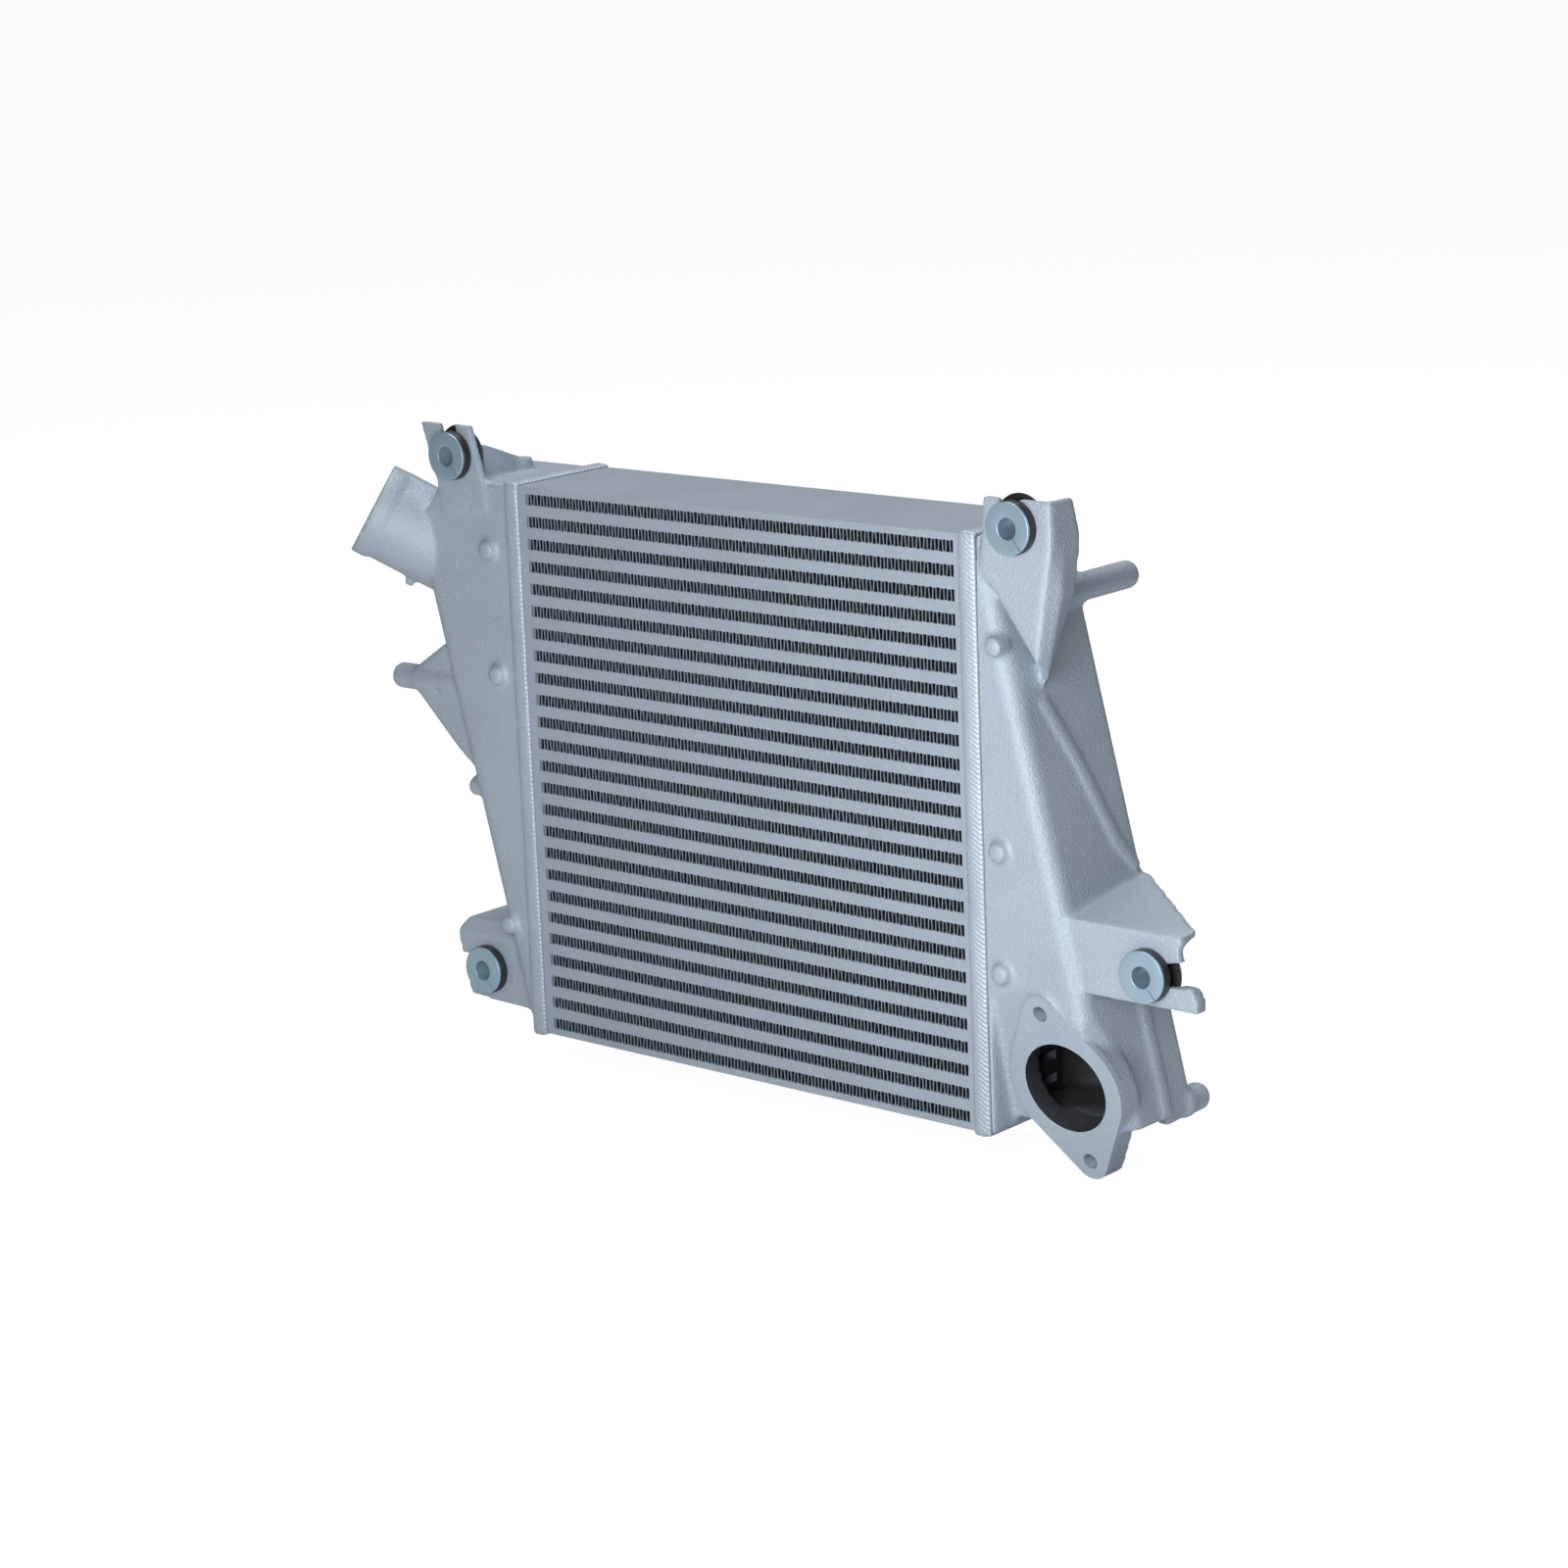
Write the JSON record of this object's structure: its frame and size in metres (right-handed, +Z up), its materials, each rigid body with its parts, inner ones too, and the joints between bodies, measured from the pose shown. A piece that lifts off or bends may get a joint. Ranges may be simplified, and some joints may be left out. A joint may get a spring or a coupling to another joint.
{
  "type": "intercooler",
  "caption": "Bar and plate charge-air cooler with cast end tanks, an angled hose spout, a bolted outlet port and rubber mounts.",
  "frame": {"origin": "centre of the outlet port, on the machined face of its flange", "axes": "+X along the core from the inlet tank towards the outlet tank, +Y back through the core, +Z up; the port looks along -Y and 12.8 degrees down"},
  "size_m": [0.4642, 0.1151, 0.2919],
  "materials": {
    "cast_aluminium": "sand-cast aluminium with a fine silver paint",
    "core_aluminium": "brazed aluminium bar, matt silver",
    "fin_strip": "thin folded aluminium strip, dark in its depth",
    "turbulator_sheet": "thin folded aluminium sheet, dull from brazing",
    "weld_metal": "rippled weld bead under silver paint",
    "rubber": "black moulded rubber, smooth",
    "plated_steel": "zinc-plated steel with a pale blue cast"
  },
  "bodies": {
    "root": {"bottom_plate": "core_aluminium", "charge_tube_01": "core_aluminium", "charge_tube_02": "core_aluminium", "charge_tube_03": "core_aluminium", "charge_tube_04": "core_aluminium", "charge_tube_05": "core_aluminium", "charge_tube_06": "core_aluminium", "charge_tube_07": "core_aluminium", "charge_tube_08": "core_aluminium", "charge_tube_09": "core_aluminium", "charge_tube_10": "core_aluminium", "charge_tube_11": "core_aluminium", "charge_tube_12": "core_aluminium", "charge_tube_13": "core_aluminium", "charge_tube_14": "core_aluminium", "charge_tube_15": "core_aluminium", "charge_tube_16": "core_aluminium", "charge_tube_17": "core_aluminium", "charge_tube_18": "core_aluminium", "charge_tube_19": "core_aluminium", "charge_tube_20": "core_aluminium", "charge_tube_21": "core_aluminium", "charge_tube_22": "core_aluminium", "charge_tube_23": "core_aluminium", "charge_tube_24": "core_aluminium", "cooling_fin_01": "fin_strip", "cooling_fin_02": "fin_strip", "cooling_fin_03": "fin_strip", "cooling_fin_04": "fin_strip", "cooling_fin_05": "fin_strip", "cooling_fin_06": "fin_strip", "cooling_fin_07": "fin_strip", "cooling_fin_08": "fin_strip", "cooling_fin_09": "fin_strip", "cooling_fin_10": "fin_strip", "cooling_fin_11": "fin_strip", "cooling_fin_12": "fin_strip", "cooling_fin_13": "fin_strip", "cooling_fin_14": "fin_strip", "cooling_fin_15": "fin_strip", "cooling_fin_16": "fin_strip", "cooling_fin_17": "fin_strip", "cooling_fin_18": "fin_strip", "cooling_fin_19": "fin_strip", "cooling_fin_20": "fin_strip", "cooling_fin_21": "fin_strip", "cooling_fin_22": "fin_strip", "cooling_fin_23": "fin_strip", "cooling_fin_24": "fin_strip", "cooling_fin_25": "fin_strip", "inlet_end_bars": "core_aluminium", "inlet_tank": "cast_aluminium", "inlet_weld_bead": "weld_metal", "mounting_sleeves": "plated_steel", "outlet_end_bars": "core_aluminium", "outlet_tank": "cast_aluminium", "outlet_weld_bead": "weld_metal", "rubber_grommets": "rubber", "top_plate": "core_aluminium", "turbulators": "turbulator_sheet"}
  },
  "joints": []
}
